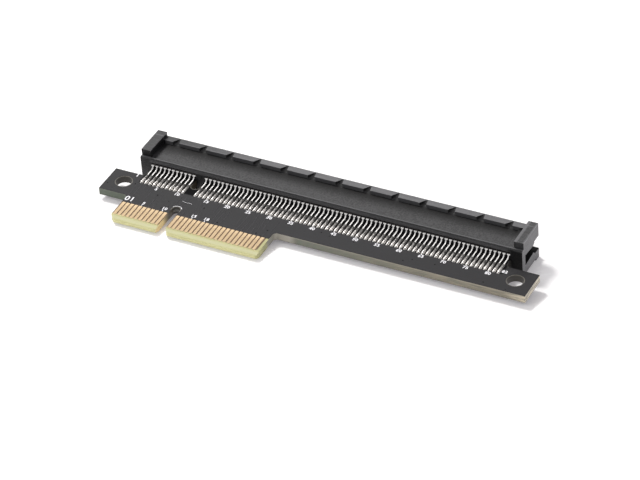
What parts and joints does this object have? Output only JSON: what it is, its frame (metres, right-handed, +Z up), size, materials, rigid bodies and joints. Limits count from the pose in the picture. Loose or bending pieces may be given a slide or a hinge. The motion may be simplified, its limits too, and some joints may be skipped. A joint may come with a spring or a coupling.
{
  "type": "pcie riser card",
  "caption": "Flat riser card that plugs into a host socket by its gold edge fingers and carries a longer slot connector for another card along its back edge.",
  "frame": {"origin": "midway between the two mounting holes, at half the board's thickness", "axes": "+X along the connector, away from the short finger block; +Y from the edge fingers to the slot mouth, in the board's plane; +Z up, out of the face that carries the end posts"},
  "size_m": [0.0988, 0.0269, 0.0085],
  "materials": {
    "laminate": "glass-epoxy laminate, matte cut edge",
    "solder_mask": "black solder mask, matte",
    "gold_plating": "thin gold over nickel, satin",
    "contact_metal": "tin-plated spring alloy, bright",
    "connector_plastic": "glass-filled moulding, matte dark grey"
  },
  "bodies": {
    "root": {"board_laminate": "laminate", "connector_housing": "connector_plastic", "solder_mask_upper": "solder_mask", "gold_fingers_upper_power": "gold_plating", "gold_fingers_upper_lane_0": "gold_plating", "gold_fingers_upper_lanes_1_to_3": "gold_plating", "contacts_upper_power": "contact_metal", "contacts_upper_lane_0": "contact_metal", "contacts_upper_lanes_1_to_3": "contact_metal", "contacts_upper_lanes_4_to_7": "contact_metal", "contacts_upper_lanes_8_to_15": "contact_metal", "solder_mask_lower": "solder_mask", "gold_fingers_lower_power": "gold_plating", "gold_fingers_lower_lane_0": "gold_plating", "gold_fingers_lower_lanes_1_to_3": "gold_plating", "contacts_lower_power": "contact_metal", "contacts_lower_lane_0": "contact_metal", "contacts_lower_lanes_1_to_3": "contact_metal", "contacts_lower_lanes_4_to_7": "contact_metal", "contacts_lower_lanes_8_to_15": "contact_metal"}
  },
  "joints": []
}
